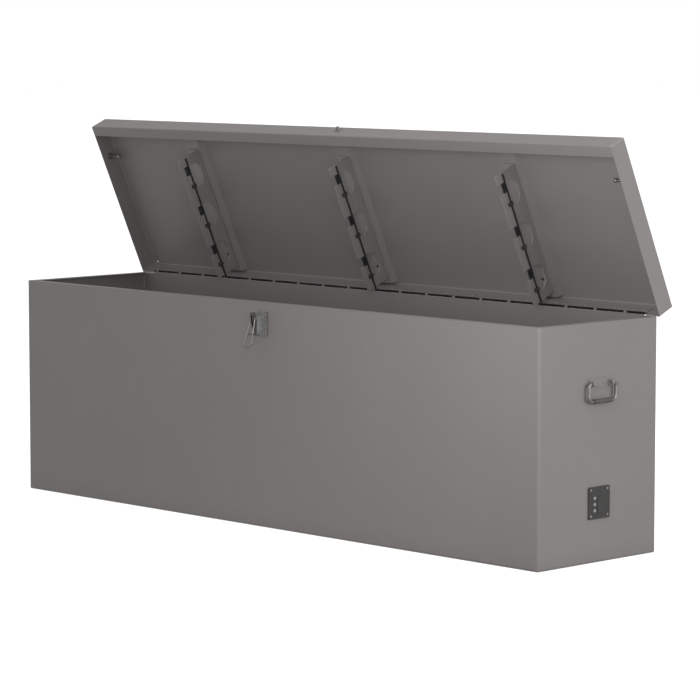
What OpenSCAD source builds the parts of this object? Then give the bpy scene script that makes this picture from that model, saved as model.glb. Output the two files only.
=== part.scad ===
// Deck storage box: a long sheet-metal chest with a hinged tray lid.  Three racks for long
// tools or rods are fixed to the ribs inside the lid, a draw latch closes the front and a drop
// handle is fixed to each end.
// Millimetres, +Z up, +X along the length, the front faces -Y.  The origin is the centre of the
// underside of the body.  Lid parts are drawn on the closed lid and then swung open.

/* [Body] */
// Outside length of the body
body_length = 1980; // [1840:10:2200]
// Outside depth of the body, front to back
body_depth = 440; // [420:5:520]
// Height of the body, floor to rim
body_height = 600; // [560:5:700]
// Sheet thickness of the body and the lid
sheet = 2; // [1.5:0.5:2.5]
// Outside radius of the bends of the body
body_bend = 8; // [5:1:10]
// Width of the bent flanges of the body panels
panel_flange = 25; // [20:1:40]
// Width of each leg of the rim angles
rim_leg = 20; // [16:1:24]

/* [Lid] */
// Angle that the lid is drawn open
lid_open = 66; // [0:1:95]
// Height of the lips of the lid
lid_height = 56; // [45:1:70]
// Outside radius of the bends of the lid
lid_bend = 6; // [5:1:12]
// How far the front lip stands in front of the body
lid_front_overhang = 27; // [22:1:28]
// How far each end lip stands outside the end of the body
lid_end_overhang = 7; // [5:1:12]
// Width of the return flange along the front lip
lid_return = 30; // [30:1:38]
// Height of the closed lid's free edge above the rim
lid_rest_gap = 0.3; // [0.3:0.1:2]

/* [Hinge] */
// Length of the continuous hinge
hinge_length = 1890; // [1700:10:1940]
// Outside radius of the hinge barrel
barrel_r = 3; // [2.5:0.5:4]
// Radius of the hinge pin
hinge_pin_r = 1.5; // [1:0.5:2]
// Distance from one body knuckle to the next
knuckle_pitch = 100.8; // [60:0.1:150]
// Length of a body knuckle, the short one
body_knuckle = 9.6; // [6:0.2:30]
// How far the knuckle pattern sits off the centre of the box
knuckle_shift = 24; // [0:1:40]
// Thickness of the hinge leaves
leaf_sheet = 1.5; // [1:0.1:2]
// Height of the hinge leaves
leaf_height = 26; // [18:1:34]

/* [Racks] */
// Distance between the three lid ribs
rib_pitch = 611; // [450:1:640]
// Width of a lid rib where it meets the lid
rib_width = 83; // [80:1:110]
// How far a rib's middle stands to the left of its rack
rib_side = 23; // [20:1:26]
// Height of a lid rib
rib_height = 15; // [12:1:18]
// Length of a rack along the depth of the lid
rack_length = 370; // [350:1:390]
// Height of a rack above its rib
rack_height = 80; // [76:1:84]
// Plate thickness of a rack
rack_plate = 3; // [2:0.5:4]
// Distance between the cradles of a rack
cradle_pitch = 123.5; // [112:0.5:126]
// Half width of a cradle opening
cradle_r = 26; // [20:1:28]
// Width of the slot that leads into a cradle
slot_width = 29; // [20:1:34]

/* [Latch and handles] */
// Width of the latch base plate
latch_width = 46; // [40:1:60]
// Height of the latch base plate
latch_height = 62; // [56:1:72]
// Length of the latch bail, pivot to cross wire
latch_bail_length = 78.5; // [78:0.1:80]
// Angle that the latch bail stands out from the front
latch_bail_tilt = 16; // [0:1:30]
// Overall width of a drop handle
handle_width = 107; // [96:1:140]
// Height of the handle pivot above the floor
handle_z = 450; // [250:5:520]
// Drop of a handle, pivot to grip
handle_drop = 44; // [44:1:70]
// Width of the cover plate on the right end
cover_width = 79; // [70:1:110]
// Height of the cover plate on the right end
cover_height = 81; // [70:1:110]

/* [Hidden] */

$fn = 64;
eps = 0.01;
run_gap = 0.05;     // radial clearance of a pin that turns
part_gap = 0.3;     // clearance between pieces that pass each other

paint = "#86817f";
paint_dark = "#6f6a68";
zinc = "#a8a6a4";
black = "#2b2a29";
steel_dark = "#4a4745";

// Driving planes of the body
front_y = -body_depth / 2;
back_y = body_depth / 2;
end_x = body_length / 2;
inner_bend = body_bend - sheet;

// Hinge axis: the barrel stands on the outside of the back panel, its top above the rim
hinge_y = back_y + barrel_r;
hinge_z = body_height + 5;
leaf_clear = barrel_r + 0.4;
leaf_tuck = 2.9;            // body leaf to the hinge axis, just clear of the lid knuckles
knuckle_count = floor((hinge_length / 2 - knuckle_shift) / knuckle_pitch + 0.5);

// Planes of the closed lid
lid_free_z = body_height + lid_rest_gap;
lid_top_z = lid_free_z + lid_height;
lid_front_y = front_y - lid_front_overhang;
lid_back_y = hinge_y + barrel_r + sheet;
lid_depth = lid_back_y - lid_front_y;
lid_mid_y = (lid_front_y + lid_back_y) / 2;
lid_length = body_length + 2 * lid_end_overhang;
lid_panel_z = lid_top_z - sheet;
return_bend = 3;

// Rack places along the lid; ribs and racks run from the hinge side towards the front
rib_xs = [-rib_pitch, 0, rib_pitch];
rib_sheet = 1.5;
rib_slope = 9.5;
rib_low_z = lid_panel_z - rib_height;
rack_back_y = 203;
rack_front_y = rack_back_y - rack_length;
rack_low_z = rib_low_z - rack_height;
rack_face = 1.5;            // the rack's open face, from the middle of its plate
rack_foot = 38;
seat_x = [52, 71];          // centres of a cradle's two arcs, from its rack's back end
seat_drop = 38;           // centre line of a cradle, below the rib
strip_z = rib_low_z - 54;   // centre of the rubber strip
strip_size = [3.6, 5];

// Draw latch: fixed pivot, bail pivot and the wire's place in the keeper
latch_top_z = body_height - 25;
latch_mid_z = latch_top_z - latch_height / 2;
pivot_y = front_y - 34;
pivot_z = body_height - 30;
bail_pivot_y = pivot_y + 1.5;
bail_pivot_z = pivot_z - 10.5;
pivot_r = 2;
bail_wire_r = 2;
keeper_z = lid_free_z + 34;

// Drop handles
handle_off = 11;            // pivot axis, out from the end panel
handle_wire_r = 4;
handle_leg = handle_width / 2 - handle_wire_r;
ear_x = [31, 39];

// ---- shared shapes ----

// Rectangle with all four corners round, centred
module round_rect(w, h, r) {
    square([w - 2 * r, h], center = true);
    square([w, h - 2 * r], center = true);
    for (x = [-1, 1], y = [-1, 1])
        translate([x * (w / 2 - r), y * (h / 2 - r)]) circle(r);
}

// Rectangle on the axis, centred across, with its two lower corners round
module tray_outline(w, h, r) {
    translate([-w / 2 + r, 0]) square([w - 2 * r, h]);
    translate([-w / 2, r]) square([w, h - r]);
    for (x = [-1, 1]) translate([x * (w / 2 - r), r]) circle(r);
}

// Block with round upright edges and round lower edges, standing on z = 0
module tray_block(l, d, h, r) {
    intersection() {
        linear_extrude(h) round_rect(l, d, r);
        along_x() linear_extrude(l, center = true) tray_outline(d, h, r);
        rotate([90, 0, 0]) linear_extrude(d, center = true) tray_outline(l, h, r);
    }
}

// Draws a y-z outline along the x axis
module along_x() { rotate([90, 0, 90]) children(); }

// Turns closed-lid parts about the hinge axis to the drawn opening angle
module on_lid() {
    translate([0, hinge_y, hinge_z]) rotate([-lid_open, 0, 0])
        translate([0, -hinge_y, -hinge_z]) children();
}

// Low dome head of a rivet or screw, its flat on z = 0
module dome_head(r, h) {
    sphere_r = (r * r + h * h) / (2 * h);
    intersection() {
        translate([0, 0, h - sphere_r]) sphere(sphere_r);
        cylinder(r = r + 1, h = h + 1);
    }
}

// Flat washer head with a dome on it
module screw_head(r, h) {
    cylinder(r = r, h = h * 0.35);
    translate([0, 0, h * 0.35 - eps]) dome_head(r * 0.86, h * 0.65);
}

// Half of a bent wire: a stub along the x axis, an elbow, a leg and half a cross wire
module wire_half(stub_x, leg_x, drop, elbow_r, corner_r, wire_r) {
    translate([stub_x, 0, 0]) rotate([0, 90, 0])
        cylinder(r = wire_r, h = leg_x - elbow_r - stub_x);
    translate([leg_x - elbow_r, 0, -elbow_r]) rotate([90, 0, 0])
        rotate_extrude(angle = 90) translate([elbow_r, 0]) circle(wire_r);
    translate([leg_x, 0, corner_r - drop]) cylinder(r = wire_r, h = drop - corner_r - elbow_r);
    translate([leg_x - corner_r, 0, corner_r - drop]) rotate([90, 0, 0])
        rotate([0, 0, -90]) rotate_extrude(angle = 90) translate([corner_r, 0]) circle(wire_r);
    translate([0, 0, -drop]) rotate([0, 90, 0]) cylinder(r = wire_r, h = leg_x - corner_r);
}

// Whole bail: the half and its mirror image
module wire_bail(stub_x, leg_x, drop, elbow_r, corner_r, wire_r) {
    for (side = [0, 1]) mirror([side, 0, 0]) wire_half(stub_x, leg_x, drop, elbow_r, corner_r, wire_r);
}

// Pear-shaped loop: two stubs, two spreading legs and one round bottom; a small bead at each joint
module wire_pear(stub_x, leg_x, drop, bottom_r, spread, wire_r) {
    bead_r = wire_r * 1.04;
    centre_z = bottom_r - drop;
    foot_x = bottom_r * cos(spread);
    foot_z = centre_z + bottom_r * sin(spread);
    leg_length = norm([foot_x - leg_x, foot_z]);
    leg_angle = atan2(foot_x - leg_x, -foot_z);
    for (side = [0, 1]) mirror([side, 0, 0]) {
        translate([stub_x, 0, 0]) rotate([0, 90, 0]) cylinder(r = wire_r, h = leg_x - stub_x);
        translate([leg_x, 0, 0]) sphere(bead_r);
        translate([leg_x, 0, 0]) rotate([0, 180 - leg_angle, 0]) cylinder(r = wire_r, h = leg_length);
        translate([foot_x, 0, foot_z]) sphere(bead_r);
    }
    translate([0, 0, centre_z]) rotate([90, 0, 0]) rotate([0, 0, 180 - spread])
        rotate_extrude(angle = 180 + 2 * spread) translate([bottom_r, 0]) circle(wire_r);
}

// ---- body sheet metal ----

// The whole bent shell, from which each panel takes its share
module body_shell() {
    difference() {
        tray_block(body_length, body_depth, body_height, body_bend);
        translate([0, 0, sheet])
            tray_block(body_length - 2 * sheet, body_depth - 2 * sheet, body_height, inner_bend);
    }
}

// Front or back panel with its bottom flange; side is -1 at the front and 1 at the back
module long_panel(side) {
    panel_l = body_length - 2 * panel_flange;
    intersection() {
        body_shell();
        translate([0, side * (body_depth / 2 - panel_flange / 2 + 0.5), body_height / 2])
            cube([panel_l, panel_flange + 1, body_height + 2], center = true);
    }
}

module front_panel() { color(paint) long_panel(-1); }

module back_panel() { color(paint) long_panel(1); }

// End panel with flanges along the front, the back and the bottom
module end_panel(side) {
    intersection() {
        body_shell();
        translate([side * (end_x - panel_flange / 2 + 0.5), 0, body_height / 2])
            cube([panel_flange + 1, body_depth + 2, body_height + 2], center = true);
    }
}

module left_end_panel() { color(paint) end_panel(-1); }

module right_end_panel() { color(paint) end_panel(1); }

// Flat floor sheet, butt-welded inside the ring of bottom flanges
module floor_panel() {
    color(paint_dark) linear_extrude(sheet)
        square([body_length - 2 * panel_flange, body_depth - 2 * panel_flange], center = true);
}

// Angle section: a leg down the panel and a leg inwards, the corner at the origin
module angle_outline() {
    translate([0, -rim_leg]) square([sheet, rim_leg]);
    translate([0, -sheet]) square([rim_leg, sheet]);
}

module front_rim_angle() {
    color(paint) translate([0, front_y + sheet, body_height])
        along_x() linear_extrude(body_length - 2 * body_bend, center = true) angle_outline();
}

module end_rim_angle(side) {
    run_y = body_depth - body_bend - 2 * sheet - rim_leg;
    mirror([side < 0 ? 1 : 0, 0, 0])
        translate([end_x - sheet, front_y + sheet + rim_leg, body_height])
            rotate([90, 0, 180]) linear_extrude(run_y) angle_outline();
}

module left_rim_angle() { color(paint) end_rim_angle(-1); }

module right_rim_angle() { color(paint) end_rim_angle(1); }

// ---- continuous hinge ----

// Start and length of every body knuckle along the hinge
body_knuckles = [
    for (i = [-knuckle_count - 1 : knuckle_count])
        let (x = knuckle_shift + (i + 0.5) * knuckle_pitch)
        if (abs(x) < hinge_length / 2 - body_knuckle) x
];

module body_knuckle_bars(extra, r) {
    for (x = body_knuckles) translate([x, hinge_y, hinge_z]) rotate([0, 90, 0])
        cylinder(r = r, h = body_knuckle + 2 * extra, center = true);
}

module body_knuckle_tabs(extra, y, z, depth, height) {
    for (x = body_knuckles) translate([x - body_knuckle / 2 - extra, y, z])
        cube([body_knuckle + 2 * extra, depth, height]);
}

module hinge_bore() {
    translate([0, hinge_y, hinge_z]) rotate([0, 90, 0])
        cylinder(r = hinge_pin_r + run_gap, h = hinge_length + 2, center = true);
}

module hinge_body_leaf() {
    leaf_top = hinge_z - leaf_tuck;
    color(paint) difference() {
        union() {
            translate([-hinge_length / 2, back_y, leaf_top - leaf_height])
                cube([hinge_length, leaf_sheet, leaf_height]);
            body_knuckle_tabs(0, back_y, leaf_top - 1, leaf_sheet, leaf_tuck + 1);
            body_knuckle_bars(0, barrel_r);
        }
        hinge_bore();
    }
}

module hinge_lid_leaf() {
    leaf_low = hinge_z + leaf_clear;
    leaf_y = hinge_y + barrel_r - leaf_sheet;
    color(steel_dark) on_lid() difference() {
        union() {
            translate([-hinge_length / 2, leaf_y, leaf_low - leaf_clear])
                cube([hinge_length, leaf_sheet, leaf_clear + leaf_height]);
            translate([0, hinge_y, hinge_z]) rotate([0, 90, 0])
                cylinder(r = barrel_r, h = hinge_length, center = true);
        }
        hinge_bore();
        body_knuckle_tabs(part_gap, hinge_y - barrel_r - 1, hinge_z - barrel_r - 1,
            2 * barrel_r + 2, barrel_r + leaf_clear + 1);
    }
}

module hinge_pin() {
    color(zinc) translate([0, hinge_y, hinge_z]) rotate([0, 90, 0])
        cylinder(r = hinge_pin_r, h = hinge_length, center = true);
}

rivet_xs = [for (x = body_knuckles) x + knuckle_pitch / 2 ];
leaf_rivet_xs = [for (x = rivet_xs) if (abs(x) < hinge_length / 2 - 12) x];

module hinge_body_rivets() {
    color(zinc) for (x = leaf_rivet_xs)
        translate([x, back_y + leaf_sheet, hinge_z - leaf_clear - leaf_height / 2])
            rotate([-90, 0, 0]) dome_head(4, 1.8);
}

module hinge_lid_rivets() {
    color(zinc) on_lid() for (x = leaf_rivet_xs)
        translate([x, hinge_y + barrel_r - leaf_sheet, hinge_z + leaf_clear + leaf_height * 0.62])
            rotate([90, 0, 0]) dome_head(4, 1.8);
}

// ---- lid ----

// Lid tray upside down is a tray block with its floor as the lid's top
module lid_block(inset) {
    translate([0, lid_mid_y, lid_top_z - inset]) mirror([0, 0, 1])
        tray_block(lid_length - 2 * inset, lid_depth - 2 * inset, lid_height + inset, lid_bend - inset);
}

// Keeps the bend between the front lip and its return flange round
module lid_side_outline() {
    translate([lid_front_y, lid_free_z + return_bend])
        square([lid_depth, lid_height]);
    translate([lid_front_y + return_bend, lid_free_z]) square([lid_depth, return_bend + 1]);
    translate([lid_front_y + return_bend, lid_free_z + return_bend]) circle(return_bend);
}

module lid_shell() {
    barrel_cut = hinge_length + 4;
    rim_cut = body_length + 1.4;
    relief = 4.5;
    color(paint) on_lid() difference() {
        intersection() {
            lid_block(0);
            along_x() linear_extrude(lid_length + 2, center = true) lid_side_outline();
        }
        difference() {
            lid_block(sheet);
            translate([-lid_length / 2, lid_front_y, lid_free_z])
                cube([lid_length, lid_return, sheet]);
        }
        translate([-barrel_cut / 2, hinge_y - barrel_r, lid_free_z - 1])
            cube([barrel_cut, 2 * barrel_r + sheet + 1, hinge_z + leaf_clear - lid_free_z + 1]);
        translate([-rim_cut / 2, hinge_y - barrel_r, lid_free_z - 1])
            cube([rim_cut, 2 * barrel_r + sheet + 1, hinge_z - 1.5 - lid_free_z + 1]);
        for (side = [-1, 1])
            translate([side * (end_x - 5.5), hinge_y - 3.8, lid_top_z])
                cube([relief, relief, 6], center = true);
    }
}

// Hat rib: a shallow folded channel, open towards the lid panel, wider on the left of its rack
module lid_rib(x) {
    half = rib_width / 2;
    top_half = half - rib_slope;
    rib_front = lid_front_y + lid_bend + 0.5;
    rib_back = lid_back_y - lid_bend - 4;
    color(paint) on_lid() translate([x - rib_side, rib_back, lid_panel_z]) rotate([90, 0, 0])
        linear_extrude(rib_back - rib_front) polygon([
            [-half, 0], [-top_half, -rib_height], [top_half, -rib_height], [half, 0],
            [half - 2, 0], [top_half - 1.2, -rib_height + rib_sheet],
            [-top_half + 1.2, -rib_height + rib_sheet], [-half + 2, 0]
        ]);
}

module lid_rib_left() { lid_rib(rib_xs[0]); }

module lid_rib_centre() { lid_rib(rib_xs[1]); }

module lid_rib_right() { lid_rib(rib_xs[2]); }

// ---- rod racks ----

// One cradle: a long round seat with a slot out to the free edge of the rack
module cradle_outline() {
    for (x = seat_x) translate([-x, -seat_drop]) circle(cradle_r);
    translate([-seat_x[1], -seat_drop - cradle_r])
        square([seat_x[1] - seat_x[0], 2 * cradle_r]);
    slot_far = seat_x[1] + cradle_r + 2;
    translate([-slot_far, -rack_height - 1]) square([slot_width, rack_height - seat_drop + 1]);
}

// Rack plate seen from its open face: back end at 0, front end at -rack_length, rib at 0
module rack_outline() {
    nose = 5;
    difference() {
        union() {
            translate([-rack_length, -rack_height + nose]) square([rack_length, rack_height - nose]);
            translate([-rack_length + nose, -rack_height]) square([rack_length - 2 * nose, nose + 1]);
            for (x = [-rack_length + nose, -nose]) translate([x, -rack_height + nose]) circle(nose);
        }
        for (i = [0 : 2]) translate([-i * cradle_pitch, 0]) cradle_outline();
    }
}

module rod_rack(x) {
    color(paint) on_lid() translate([x + rack_face, rack_back_y, rib_low_z]) {
        translate([-rack_plate, 0, 0]) along_x() linear_extrude(rack_plate) rack_outline();
        translate([-rack_foot, -rack_length, -rack_plate])
            cube([rack_foot - rack_plate + eps, rack_length, rack_plate]);
    }
}

module rod_rack_left() { rod_rack(rib_xs[0]); }

module rod_rack_centre() { rod_rack(rib_xs[1]); }

module rod_rack_right() { rod_rack(rib_xs[2]); }

// Centre of each entry slot along the rack, from the rack's back end
slot_ys = [for (i = [0 : 2]) -i * cradle_pitch - seat_x[1] - cradle_r - 2 + slot_width / 2];

// Rubber strip along the rack with a short gate across each slot
module rack_strip(x) {
    gate = [4, 26, 10];
    window = [gate[0] + 2, 16, 3.4];
    stem = [3, 5, 5];
    gate_z = -strip_size[1] / 2 - 2 - gate[2];
    color(black) on_lid() translate([x + rack_face, rack_back_y, strip_z]) {
        translate([strip_size[0] / 2, -rack_length + 3, 0]) rotate([-90, 0, 0])
            linear_extrude(rack_length + 6) round_rect(strip_size[0], strip_size[1], 1.5);
        for (y = slot_ys) {
            translate([gate[0] / 2, y, gate_z + gate[2] / 2]) difference() {
                cube(gate, center = true);
                cube(window, center = true);
            }
            for (end = [-1, 1]) translate([0.5, y + end * 10 - stem[1] / 2, gate_z + gate[2] - eps])
                cube([stem[0], stem[1], 2 + 2]);
        }
    }
}

module rack_strip_left() { rack_strip(rib_xs[0]); }

module rack_strip_centre() { rack_strip(rib_xs[1]); }

module rack_strip_right() { rack_strip(rib_xs[2]); }

// Clip over the strip beside each cradle, held to the rack by its own foot
module strip_clips(x) {
    clip = [5.5, 10, 15];
    color(black) on_lid() for (y = slot_ys)
        translate([x + rack_face, rack_back_y + y + 48, strip_z]) difference() {
            translate([0, -clip[1] / 2, -clip[2] + 4.5]) cube(clip);
            translate([-1, -clip[1], -strip_size[1] / 2])
                cube([strip_size[0] + 1, 2 * clip[1], strip_size[1]]);
        }
}

module strip_clips_left() { strip_clips(rib_xs[0]); }

module strip_clips_centre() { strip_clips(rib_xs[1]); }

module strip_clips_right() { strip_clips(rib_xs[2]); }

// Screws through each rack's foot into its rib
module rack_screws() {
    screw_count = 4;
    color(zinc) on_lid() for (x = rib_xs, i = [0 : screw_count - 1])
        translate([x + rack_face - rack_foot * 0.58,
            rack_back_y - 40 - i * (rack_length - 66) / (screw_count - 1), rib_low_z - rack_plate])
            rotate([180, 0, 0]) screw_head(5.5, 3);
}

// ---- stay studs ----

module lid_stud(side) {
    stud_reach = 36;
    mirror([side < 0 ? 1 : 0, 0, 0]) color(zinc) on_lid()
        translate([end_x + lid_end_overhang - sheet, rack_back_y - 343, lid_free_z + 26])
            rotate([0, -90, 0]) {
                cylinder(r = 9, h = 2);
                cylinder(r = 7, h = 8, $fn = 6);
                cylinder(r = 4, h = stud_reach);
                translate([0, 0, stud_reach + 3]) sphere(6);
            }
}

module lid_stud_left() { lid_stud(-1); }

module lid_stud_right() { lid_stud(1); }

// ---- draw latch ----

module latch_base() {
    plate = 4;
    ear = 1.8;
    ear_in = 1.2;
    color(zinc) difference() {
        union() {
            translate([0, front_y, latch_mid_z]) rotate([90, 0, 0])
                linear_extrude(plate) round_rect(latch_width, latch_height, 5);
            for (side = [0, 1]) mirror([side, 0, 0]) translate([ear_in, 0, 0])
                along_x() linear_extrude(ear) {
                    translate([pivot_y, pivot_z - 5]) square([front_y - plate - pivot_y + eps, 10]);
                    translate([pivot_y, pivot_z]) circle(5);
                }
        }
        translate([0, pivot_y, pivot_z]) rotate([0, 90, 0])
            cylinder(r = pivot_r + run_gap, h = latch_width, center = true);
    }
}

module latch_base_rivets() {
    color(zinc) for (x = [-16, 16], z = [-22, 22])
        translate([x, front_y - 4, latch_mid_z + z]) rotate([90, 0, 0]) dome_head(4, 2);
}

module latch_pivot_pin() {
    half_pin = 5.3;
    color(zinc) translate([0, pivot_y, pivot_z]) rotate([0, 90, 0]) {
        cylinder(r = pivot_r, h = 2 * half_pin, center = true);
        for (end = [-1, 1]) translate([0, 0, end * half_pin])
            cylinder(r = 3, h = 0.9, center = true);
    }
}

// Lever: two cheeks outside the ears, joined by a plate that ends in a finger lip
module latch_lever() {
    cheek_in = 3.3;
    cheek = 1.4;
    plate_y = front_y - 24;
    lip_width = 26;
    lip_reach = 18;
    low_z = latch_top_z - latch_height + 3;
    color(steel_dark) difference() {
        union() {
            for (side = [0, 1]) mirror([side, 0, 0]) translate([cheek_in, 0, 0])
                along_x() linear_extrude(cheek) {
                    translate([pivot_y, pivot_z]) circle(5.5);
                    polygon([
                        [pivot_y - 5.5, pivot_z], [pivot_y + 5.5, pivot_z],
                        [plate_y + 1, pivot_z - 16], [plate_y, low_z + 6],
                        [plate_y - 3, low_z + 6], [pivot_y - 3, pivot_z - 18]
                    ]);
                }
            translate([-cheek_in - cheek, plate_y - 2, low_z])
                cube([2 * (cheek_in + cheek), 2, pivot_z - 16 - low_z]);
            translate([-lip_width / 2, plate_y - lip_reach, low_z])
                cube([lip_width, lip_reach, 2]);
        }
        translate([0, pivot_y, pivot_z]) rotate([0, 90, 0])
            cylinder(r = pivot_r + run_gap, h = latch_width, center = true);
        translate([0, bail_pivot_y, bail_pivot_z]) rotate([0, 90, 0])
            cylinder(r = bail_wire_r + run_gap, h = latch_width, center = true);
    }
}

module latch_bail() {
    color(zinc) translate([0, bail_pivot_y, bail_pivot_z]) rotate([-latch_bail_tilt, 0, 0])
        wire_pear(3.5, 7.2, latch_bail_length, 13.5, 4, bail_wire_r);
}

module latch_keeper() {
    plate = [15, 2, 16];
    color(zinc) on_lid() translate([0, lid_front_y, keeper_z]) {
        translate([-plate[0] / 2, -plate[1], -8]) cube(plate);
        translate([-3.5, -9.6, -2.6]) cube([7, 7.6 + eps, 3]);
        translate([-3.5, -9.6, 0.4 - eps]) cube([7, 1.7, 4.6]);
    }
}

module latch_keeper_rivets() {
    color(zinc) on_lid() for (z = [-5.4, 5.2])
        translate([0, lid_front_y - 2, keeper_z + z]) rotate([90, 0, 0]) dome_head(2, 1);
}

// ---- drop handles ----

// Places a right-hand handle part at the left end too
module at_end(side) { mirror([side < 0 ? 1 : 0, 0, 0]) children(); }

module handle_plate() {
    plate = 2.5;
    width = 84;
    low = 10;
    high = 12;
    difference() {
        union() {
            translate([end_x, 0, handle_z + (high - low) / 2])
                along_x() linear_extrude(plate) round_rect(width, high + low, 4);
            for (side = [-1, 1]) {
                translate([end_x + handle_off, side * (ear_x[0] + ear_x[1]) / 2, handle_z])
                    rotate([90, 0, 0]) cylinder(r = 7, h = ear_x[1] - ear_x[0], center = true);
                translate([end_x + plate - eps, side * 35 - 4, handle_z - 7])
                    cube([handle_off - plate, ear_x[1] - ear_x[0], 14]);
            }
        }
        translate([end_x + handle_off, 0, handle_z]) rotate([90, 0, 0])
            cylinder(r = handle_wire_r + run_gap, h = width, center = true);
    }
}

module handle_screws() {
    for (y = [-16, 16]) translate([end_x + 2.5, y, handle_z + 1])
        rotate([0, 90, 0]) screw_head(5, 2.8);
}

module handle_bail() {
    translate([end_x + handle_off, 0, handle_z]) rotate([0, 0, 90])
        wire_bail(30.5, handle_leg, handle_drop, 9.5, 12, handle_wire_r);
}

module handle_grip() {
    translate([end_x + handle_off, 0, handle_z - handle_drop]) rotate([90, 0, 0]) difference() {
        cylinder(r = 6, h = 64, center = true);
        cylinder(r = handle_wire_r + run_gap, h = 66, center = true);
    }
}

module right_handle_plate() { color(paint) at_end(1) handle_plate(); }

module left_handle_plate() { color(paint) at_end(-1) handle_plate(); }

module right_handle_screws() { color(zinc) at_end(1) handle_screws(); }

module left_handle_screws() { color(zinc) at_end(-1) handle_screws(); }

module right_handle_bail() { color(zinc) at_end(1) handle_bail(); }

module left_handle_bail() { color(zinc) at_end(-1) handle_bail(); }

module right_handle_grip() { color(steel_dark) at_end(1) handle_grip(); }

module left_handle_grip() { color(steel_dark) at_end(-1) handle_grip(); }

// ---- cover plate on the right end ----

cover_z = 151.5;
cover_plate = 3;

module end_cover_plate() {
    color(black) translate([end_x, 0, cover_z]) along_x() {
        linear_extrude(cover_plate) round_rect(cover_width, cover_height, 4);
        translate([10, -6]) linear_extrude(cover_plate + 1.5) round_rect(36, 42, 3);
    }
}

module end_cover_screws() {
    color(zinc) for (y = [-1, 1], z = [-1, 1])
        translate([end_x + cover_plate, y * (cover_width / 2 - 9), cover_z + z * (cover_height / 2 - 8)])
            rotate([0, 90, 0]) screw_head(3.6, 2);
}

module end_cover_studs() {
    color(zinc) for (i = [-1 : 1])
        translate([end_x + cover_plate, -16, cover_z - 4 + i * 15.5]) rotate([0, 90, 0])
            dome_head(4.6, 2.6);
}

front_panel();
back_panel();
left_end_panel();
right_end_panel();
floor_panel();
front_rim_angle();
left_rim_angle();
right_rim_angle();
hinge_body_leaf();
hinge_pin();
hinge_body_rivets();
latch_base();
latch_base_rivets();
latch_pivot_pin();
right_handle_plate();
right_handle_screws();
left_handle_plate();
left_handle_screws();
end_cover_plate();
end_cover_screws();
end_cover_studs();
lid_shell();
hinge_lid_leaf();
hinge_lid_rivets();
lid_rib_left();
lid_rib_centre();
lid_rib_right();
rod_rack_left();
rod_rack_centre();
rod_rack_right();
rack_strip_left();
rack_strip_centre();
rack_strip_right();
strip_clips_left();
strip_clips_centre();
strip_clips_right();
rack_screws();
latch_keeper();
latch_keeper_rivets();
lid_stud_left();
lid_stud_right();
latch_lever();
latch_bail();
right_handle_bail();
right_handle_grip();
left_handle_bail();
left_handle_grip();
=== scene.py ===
"""Looks for the deck storage box: materials, stitch welds, stage, light and camera.

Metres throughout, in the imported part's own frame: +X along the box towards the end with the
cover plate, the latched front faces -Y, +Z up, the floor at z = 0.  At rest the lid is open.
"""

import math

import bmesh
import bpy
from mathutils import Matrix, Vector


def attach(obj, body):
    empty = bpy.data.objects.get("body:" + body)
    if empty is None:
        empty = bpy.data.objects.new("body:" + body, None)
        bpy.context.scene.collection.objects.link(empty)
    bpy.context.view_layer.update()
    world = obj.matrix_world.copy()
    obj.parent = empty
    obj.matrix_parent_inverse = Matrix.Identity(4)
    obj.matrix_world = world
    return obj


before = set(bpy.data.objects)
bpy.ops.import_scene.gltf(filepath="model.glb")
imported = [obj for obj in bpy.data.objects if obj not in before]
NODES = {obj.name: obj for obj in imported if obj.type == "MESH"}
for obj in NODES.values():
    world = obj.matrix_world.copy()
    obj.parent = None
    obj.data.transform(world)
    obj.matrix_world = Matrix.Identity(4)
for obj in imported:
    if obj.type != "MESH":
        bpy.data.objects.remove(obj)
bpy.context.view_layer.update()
scene = bpy.context.scene


# ---------------------------------------------------------------- node helpers


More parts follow.
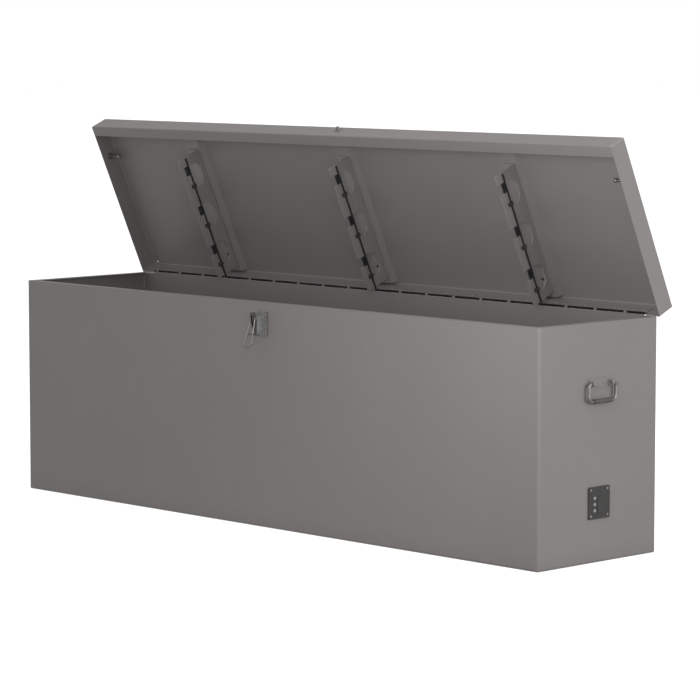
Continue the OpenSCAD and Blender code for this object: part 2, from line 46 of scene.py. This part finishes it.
class Net:
    """Short calls for building one material's node tree."""

    def __init__(self, name):
        self.mat = bpy.data.materials.new(name)
        self.mat.use_nodes = True
        self.tree = self.mat.node_tree
        self.tree.nodes.clear()
        self.out = self.add("ShaderNodeOutputMaterial")
        self.shader = self.add("ShaderNodeBsdfPrincipled")
        self.join(self.shader.outputs[0], self.out.inputs[0])
        self.coord = self.add("ShaderNodeTexCoord").outputs["Object"]

    def add(self, kind, **props):
        node = self.tree.nodes.new(kind)
        for key, value in props.items():
            setattr(node, key, value)
        return node

    def join(self, a, b):
        self.tree.links.new(a, b)

    def put(self, socket, value):
        """Feed a socket from another node, or set it to a plain value."""
        if isinstance(value, bpy.types.NodeSocket):
            self.join(value, socket)
        else:
            socket.default_value = value

    def surface(self, values):
        """Set or feed inputs of the surface shader by name."""
        for name, value in values.items():
            self.put(self.shader.inputs[name], value)

    def math(self, operation, a, b=0.0):
        node = self.add("ShaderNodeMath", operation=operation)
        self.put(node.inputs[0], a)
        self.put(node.inputs[1], b)
        return node.outputs[0]

    def square(self, a):
        return self.math("MULTIPLY", a, a)

    def placed(self, scale, turn=(0, 0, 0)):
        """Object coordinates, stretched and turned."""
        node = self.add("ShaderNodeMapping", vector_type="POINT")
        self.join(self.coord, node.inputs[0])
        node.inputs["Rotation"].default_value = turn
        node.inputs["Scale"].default_value = scale
        return node.outputs[0]

    def noise(self, scale, detail=2.0, rough=0.5, at=None):
        node = self.add("ShaderNodeTexNoise")
        self.join(at or self.coord, node.inputs["Vector"])
        node.inputs["Scale"].default_value = scale
        node.inputs["Detail"].default_value = detail
        node.inputs["Roughness"].default_value = rough
        return node.outputs[0]

    def cells(self, scale):
        node = self.add("ShaderNodeTexVoronoi", feature="F1")
        self.join(self.coord, node.inputs["Vector"])
        node.inputs["Scale"].default_value = scale
        return node.outputs["Distance"]

    def fit(self, value, a, b, c, d, smooth=False):
        """Map a..b onto c..d, held at both ends."""
        node = self.add("ShaderNodeMapRange")
        if smooth:
            node.interpolation_type = "SMOOTHSTEP"
        node.clamp = True
        self.join(value, node.inputs["Value"])
        for name, number in (("From Min", a), ("From Max", b), ("To Min", c), ("To Max", d)):
            node.inputs[name].default_value = number
        return node.outputs["Result"]

    def blend(self, factor, first, second):
        """Mix two colours, each a socket or an RGB triple."""
        node = self.add("ShaderNodeMix", data_type="RGBA", blend_type="MIX")
        self.put(node.inputs["Factor"], factor)
        for socket, value in ((node.inputs[6], first), (node.inputs[7], second)):
            self.put(socket, value if isinstance(value, bpy.types.NodeSocket) else (*value, 1))
        return node.outputs[2]

    def bump(self, height, strength, distance, under=None):
        node = self.add("ShaderNodeBump")
        node.inputs["Strength"].default_value = strength
        node.inputs["Distance"].default_value = distance
        self.join(height, node.inputs["Height"])
        if under is not None:
            self.join(under, node.inputs["Normal"])
        return node.outputs[0]

    def split(self, vector):
        node = self.add("ShaderNodeSeparateXYZ")
        self.join(vector, node.inputs[0])
        return node.outputs[0], node.outputs[1], node.outputs[2]


def shade(colour, factor):
    return tuple(channel * factor for channel in colour)


# ---------------------------------------------------------------- materials

# Paint turns darker and browner towards the bottom, fading out at this height
LOW_DARKENING_TOP = 0.055
LOW_DARKENING_SHADE = 0.66

# The lid's hinge axis, how far from it the real barrel is painted near-black as painted shade for
# the shadow line along the hinge, and where the plain paint is whole again
HINGE_Y, HINGE_Z = 0.223, 0.605
BARREL_SHADOW_TO, BARREL_SHADOW_FADE_TO = 0.0045, 0.0058


def paint(name, tone, rough=0.46, low_darkening=0.0, scuffs=0.3, barrel_shadow_colour=None):
    """Sprayed enamel: orange peel, slow tonal drift, fine specks, darker and browner towards the
    bottom, and faint rubs; optionally a hinge barrel painted near-black as a painted shadow line.
    """
    net = Net(name)
    drift = net.noise(2.1, 3.0, 0.55)
    mottle = net.noise(37.0, 4.0, 0.6)
    colour = net.blend(
        net.fit(drift, 0.3, 0.7, 0, 1, True), shade(tone, 0.975), shade(tone, 1.025)
    )
    colour = net.blend(net.fit(mottle, 0.35, 0.65, 0, 0.3, True), colour, shade(tone, 0.965))
    specks = net.fit(net.cells(420.0), 0.0, 0.12, 1, 0)
    speck_zone = net.fit(net.noise(55.0, 2.0), 0.56, 0.64, 0, 0.5)
    colour = net.blend(net.math("MULTIPLY", specks, speck_zone), colour, shade(tone, 1.25))
    # rubs: thin, long, nearly level marks on upright faces
    level = net.placed(scale=(1.0, 1.0, 9.0), turn=(0.12, 0.0, 0.0))
    rub = net.fit(net.noise(14.0, 5.0, 0.62, at=level), 0.66, 0.74, 0, scuffs)
    colour = net.blend(rub, colour, shade(tone, 1.08))
    # darker and browner towards the bottom, up to the height set above
    if low_darkening:
        height = net.split(net.coord)[2]
        low = net.fit(height, 0.0, LOW_DARKENING_TOP, 1, 0, True)
        streak = net.noise(26.0, 4.0, 0.6, at=net.placed(scale=(1, 1, 0.35)))
        mask = net.math("MULTIPLY", low, net.fit(streak, 0.32, 0.68, 0.15, low_darkening))
        brown = (tone[0], tone[1] * 0.96, tone[2] * 0.9)
        colour = net.blend(mask, colour, shade(brown, LOW_DARKENING_SHADE))
    gloss = net.fit(net.noise(9.0, 4.0, 0.6), 0.3, 0.7, rough - 0.05, rough + 0.06)
    gloss = net.math("ADD", gloss, net.math("MULTIPLY", rub, 0.25))
    # the real hinge barrel is coloured near-black here: painted shade standing in for the dark
    # shadow line at the hinge
    if barrel_shadow_colour is not None:
        y, z = net.split(net.coord)[1:]
        off_y = net.math("SUBTRACT", y, HINGE_Y)
        off_z = net.math("SUBTRACT", z, HINGE_Z)
        reach = net.math("SQRT", net.math("ADD", net.square(off_y), net.square(off_z)))
        barrel_shadow_band = net.fit(reach, BARREL_SHADOW_TO, BARREL_SHADOW_FADE_TO, 1, 0)
        colour = net.blend(barrel_shadow_band, colour, barrel_shadow_colour)
        net.surface({"Metallic": net.math("MULTIPLY", barrel_shadow_band, 0.6)})
    wave = net.bump(net.noise(1.7, 1.0), 0.22, 0.004)
    peel = net.bump(net.noise(330.0, 2.0, 0.45), 0.07, 0.0006, under=wave)
    net.surface({
        "Base Color": colour,
        "Roughness": gloss,
        "Specular IOR Level": 0.42,
        "Coat Weight": 0.06,
        "Coat Roughness": 0.3,
        "Normal": peel,
    })
    return net.mat


def plated(name, tone, rough=0.34, brushed=True, dark_spots=0.35):
    """Zinc-plated or blackened steel: fine grain, cloudy plating and dull spots."""
    net = Net(name)
    cloud = net.noise(60.0, 4.0, 0.6)
    colour = net.blend(net.fit(cloud, 0.3, 0.7, 0, 1, True), shade(tone, 0.82), shade(tone, 1.15))
    spots = net.fit(net.noise(210.0, 3.0, 0.7), 0.6, 0.72, 0, dark_spots)
    grain = net.noise(900.0, 2.0, 0.6, at=net.placed(scale=(0.08, 1, 1)) if brushed else None)
    net.surface({
        "Base Color": net.blend(spots, colour, shade(tone, 0.45)),
        "Metallic": 1.0,
        "Roughness": net.fit(net.noise(95.0, 3.0), 0.3, 0.7, rough - 0.07, rough + 0.12),
        "Normal": net.bump(grain, 0.10, 0.0003),
    })
    return net.mat


def rubber(name, tone, rough=0.62, grain=700.0, bloom=0.3):
    """Moulded rubber or fine-textured plastic with a faint grey bloom."""
    net = Net(name)
    cloud = net.fit(net.noise(48.0, 4.0, 0.6), 0.35, 0.7, 0, bloom, True)
    net.surface({
        "Base Color": net.blend(cloud, tone, shade(tone, 2.4)),
        "Roughness": net.fit(net.noise(120.0, 3.0), 0.3, 0.7, rough - 0.06, rough + 0.1),
        "Specular IOR Level": 0.4,
        "Normal": net.bump(net.cells(grain), 0.18, 0.0004),
    })
    return net.mat


PAINT = (0.228, 0.213, 0.208)
# a darker copy of the paint for inside the box: painted shade
INSIDE_SHADED = (0.190, 0.176, 0.171)
# near-black painted shade for the shadow line along the hinge barrel
BARREL_SHADOW_BLACK = (0.012, 0.011, 0.011)
ZINC = (0.30, 0.29, 0.285)

MATERIALS = {
    "body": paint("body_enamel", PAINT, low_darkening=0.25),
    # the box floor takes the darker inside copy: painted shade
    "inside": paint("floor_enamel_painted_shade", shade(INSIDE_SHADED, 0.95), rough=0.55, scuffs=0.25),
    # the lid takes a lighter copy of the body paint: painted light
    "lid": paint("lid_enamel_painted_light", shade(PAINT, 1.07), rough=0.45),
    # the racks take a still lighter copy of the body paint: painted light for tabs that stand out
    # of the lid's shade
    "rack": paint("rack_enamel_painted_light", shade(PAINT, 1.18), rough=0.48, scuffs=0.45),
    # hinge leaf paint, its barrel painted near-black as a painted shadow line
    "leaf": paint("leaf_enamel_barrel_shadow", PAINT, rough=0.46, barrel_shadow_colour=BARREL_SHADOW_BLACK),
    "zinc": plated("zinc_plate", ZINC, rough=0.42),
    "base": plated("latch_plate", (0.34, 0.34, 0.335), rough=0.55, dark_spots=0.15),
    "bright": plated("bright_wire", ZINC, rough=0.40, brushed=False),
    "dark": plated("dark_plate", (0.20, 0.195, 0.19), rough=0.5, dark_spots=0.2),
    "grip": rubber("grip_rubber", (0.085, 0.080, 0.078), rough=0.55, grain=900.0, bloom=0.1),
    "clip": rubber("clip_rubber", (0.045, 0.041, 0.040), rough=0.6, grain=900.0, bloom=0.2),
    "rubber": rubber("black_rubber", (0.016, 0.016, 0.017)),
    "plate": rubber("black_plastic", (0.042, 0.040, 0.039), rough=0.5, grain=1300.0, bloom=0.2),
    "stud": rubber("pale_plastic", (0.30, 0.30, 0.295), rough=0.42, grain=900.0, bloom=0.05),
}


def each_side(stem):
    return [stem + side for side in ("left", "centre", "right")]


WEARERS = {
    "body": [
        "front_panel", "back_panel", "left_end_panel", "right_end_panel",
        "front_rim_angle", "left_rim_angle", "right_rim_angle",
        "hinge_body_leaf", "hinge_body_rivets",
        "right_handle_plate", "left_handle_plate",
        "right_handle_screws", "left_handle_screws",
    ],
    "inside": ["floor_panel"],
    "lid": ["lid_shell", "hinge_lid_rivets", *each_side("lid_rib_")],
    "rack": each_side("rod_rack_"),
    "leaf": ["hinge_lid_leaf"],
    "zinc": [
        "hinge_pin", "rack_screws", "latch_base_rivets", "latch_pivot_pin",
        "end_cover_screws", "latch_keeper_rivets", "lid_stud_left", "lid_stud_right",
    ],
    "base": ["latch_base", "latch_keeper"],
    "bright": ["latch_bail", "right_handle_bail", "left_handle_bail"],
    "dark": ["latch_lever"],
    "grip": ["right_handle_grip", "left_handle_grip"],
    "rubber": each_side("rack_strip_"),
    "clip": each_side("strip_clips_"),
    "plate": ["end_cover_plate"],
    "stud": ["end_cover_studs"],
}

for finish, names in WEARERS.items():
    for name in names:
        worn = NODES[name].data.materials
        worn.clear()
        worn.append(MATERIALS[finish])


def add_object(name, form):
    """Turn a bmesh into an object of the scene."""
    mesh = bpy.data.meshes.new(name)
    form.to_mesh(mesh)
    form.free()
    thing = bpy.data.objects.new(name, mesh)
    scene.collection.objects.link(thing)
    return thing


# ---------------------------------------------------------------- stitch welds

BEAD_STEPS, BEAD_SIDES, BEAD_RIPPLES = 26, 6, 11
BEAD_HALF_WIDTH, BEAD_HEIGHT, BEAD_SINK = 0.0026, 0.0011, 0.0002


def add_bead(form, centre, along, out, length):
    """One short weld bead: tapered ends, a rippled crown and a closed underside in the panel."""
    along, out = Vector(along), Vector(out)
    side = along.cross(out)
    rings = []
    for i in range(BEAD_STEPS + 1):
        t = i / BEAD_STEPS
        taper = 0.25 + 0.75 * math.sin(math.pi * t) ** 0.5
        ripple = 0.84 + 0.16 * abs(math.sin(BEAD_RIPPLES * math.pi * t))
        middle = Vector(centre) + along * (t - 0.5) * length - out * BEAD_SINK
        ring = []
        for j in range(BEAD_SIDES + 1):
            turn = math.pi * j / BEAD_SIDES
            across = side * (math.cos(turn) * BEAD_HALF_WIDTH * (0.6 + 0.4 * taper))
            up = out * (math.sin(turn) * BEAD_HEIGHT * taper * ripple)
            ring.append(form.verts.new(middle + across + up))
        rings.append(ring)
    count = BEAD_SIDES + 1
    for near, far in zip(rings, rings[1:]):
        for j in range(count):
            k = (j + 1) % count
            form.faces.new((near[j], near[k], far[k], far[j]))
    form.faces.new(rings[0])
    form.faces.new(tuple(reversed(rings[-1])))


def finish_beads(name, form):
    bmesh.ops.recalc_face_normals(form, faces=form.faces)
    piece = add_object(name, form)
    for face in piece.data.polygons:
        face.use_smooth = True
    piece.data.materials.append(MATERIALS["body"])
    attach(piece, "box")


# Where the end panels' seams run, the long panels' inner faces, and the floor's top and seams
SEAM_X, PANEL_INNER_Y, FLOOR_TOP, FLOOR_SEAM_Y = 0.965, 0.218, 0.002, 0.195
CORNER_BEAD, FLOOR_BEAD = 0.030, 0.034  # lengths
CORNER_COUNT, CORNER_FROM, CORNER_PITCH = 5, 0.07, 0.115
LONG_COUNT, LONG_FROM, LONG_PITCH = 12, -0.88, 0.16
END_COUNT, END_FROM, END_PITCH = 3, -0.12, 0.12

corner_beads = bmesh.new()
for x in (-SEAM_X, SEAM_X):
    for y in (-1, 1):
        for i in range(CORNER_COUNT):
            spot = (x, y * PANEL_INNER_Y, CORNER_FROM + CORNER_PITCH * i)
            add_bead(corner_beads, spot, (0, 0, 1), (0, -y, 0), CORNER_BEAD)
finish_beads("corner_stitch_welds", corner_beads)

floor_beads = bmesh.new()
for y in (-FLOOR_SEAM_Y, FLOOR_SEAM_Y):
    for i in range(LONG_COUNT):
        spot = (LONG_FROM + LONG_PITCH * i, y, FLOOR_TOP)
        add_bead(floor_beads, spot, (1, 0, 0), (0, 0, 1), FLOOR_BEAD)
for x in (-SEAM_X, SEAM_X):
    for i in range(END_COUNT):
        spot = (x, END_FROM + END_PITCH * i, FLOOR_TOP)
        add_bead(floor_beads, spot, (0, 1, 0), (0, 0, 1), FLOOR_BEAD)
finish_beads("floor_stitch_welds", floor_beads)


# ---------------------------------------------------------------- stage, light and camera

FLOOR_HALF, FLOOR_GLOW, DOME_RADIUS, DOME_GLOW = 36, 0.72, 50, 1.0
FLOOR_GAP = 0.0005  # under the box, so the floor and the underside never lie in one plane
WORLD_GLOW = 0.47
WHITE = (1, 1, 1, 1)


def camera_only(obj):
    """The stage shows to the camera, but neither lights the box nor reflects in it."""
    obj.visible_diffuse = False
    obj.visible_glossy = False
    obj.visible_transmission = False


def make_floor():
    """A pale ground that takes the box's shadow."""
    form = bmesh.new()
    bmesh.ops.create_grid(form, x_segments=1, y_segments=1, size=FLOOR_HALF)
    floor = add_object("floor", form)
    floor.location.z = -FLOOR_GAP
    net = Net("floor_paper")
    net.surface({
        "Base Color": net.blend(net.noise(1.4, 2.0), (0.90, 0.90, 0.90), (0.92, 0.92, 0.92)),
        "Roughness": 0.9,
        "Specular IOR Level": 0.1,
        "Emission Color": WHITE,
        "Emission Strength": FLOOR_GLOW,
    })
    floor.data.materials.append(net.mat)
    camera_only(floor)


def make_backdrop():
    """A wide white dome that only the camera sees."""
    form = bmesh.new()
    bmesh.ops.create_uvsphere(form, u_segments=48, v_segments=24, radius=DOME_RADIUS)
    dome = add_object("backdrop", form)
    net = Net("backdrop_paper")
    net.surface({
        "Base Color": (0, 0, 0, 1),
        "Specular IOR Level": 0,
        "Emission Color": WHITE,
        "Emission Strength": DOME_GLOW,
    })
    dome.data.materials.append(net.mat)
    dome.visible_shadow = False
    camera_only(dome)


def make_light(name, at, towards, size, power):
    """A soft rectangular lamp, unseen by the camera; size in metres, power in watts."""
    data = bpy.data.lights.new(name, "AREA")
    data.shape = "RECTANGLE"
    data.size, data.size_y = size
    data.energy = power
    lamp = bpy.data.objects.new(name, data)
    scene.collection.objects.link(lamp)
    lamp.visible_camera = False
    lamp.location = at
    lamp.rotation_mode = "QUATERNION"
    lamp.rotation_quaternion = (Vector(towards) - Vector(at)).to_track_quat("-Z", "Y")


def make_camera(at, azimuth, elevation, lens):
    """Stand at a point and look down a bearing; the two angles in degrees, the lens in mm."""
    data = bpy.data.cameras.new("camera")
    data.sensor_width = 36
    data.lens = lens
    data.clip_end = 200
    camera = bpy.data.objects.new("camera", data)
    scene.collection.objects.link(camera)
    azimuth, elevation = math.radians(azimuth), math.radians(elevation)
    look = Vector((
        -math.sin(azimuth) * math.cos(elevation),
        math.cos(azimuth) * math.cos(elevation),
        -math.sin(elevation),
    ))
    camera.location = at
    camera.rotation_mode = "QUATERNION"
    camera.rotation_quaternion = look.to_track_quat("-Z", "Y")
    scene.camera = camera


make_floor()
make_backdrop()
make_light("key_right", (6.0, 0.9, 1.5), (0.9, 0, 0.5), (2.6, 2.6), 134)
make_light("lid_right", (1.25, -1.15, 1.0), (0.5, 0.33, 0.95), (0.8, 0.8), 8.5)
make_light("top_soft", (0.4, -0.2, 4.4), (0, 0, 0.4), (5.0, 3.0), 60)
make_light("front_soft", (-0.8, -6.0, 1.0), (0, 0, 0.6), (4.5, 2.2), 28)

world = bpy.data.worlds.new("studio")
world.use_nodes = True
background = world.node_tree.nodes["Background"]
background.inputs[0].default_value = WHITE
background.inputs[1].default_value = WORLD_GLOW
scene.world = world
scene.view_settings.view_transform = "Standard"
scene.view_settings.look = "None"

make_camera((6.2436, -5.9621, 1.3535), azimuth=45.83, elevation=5.925, lens=165.98)
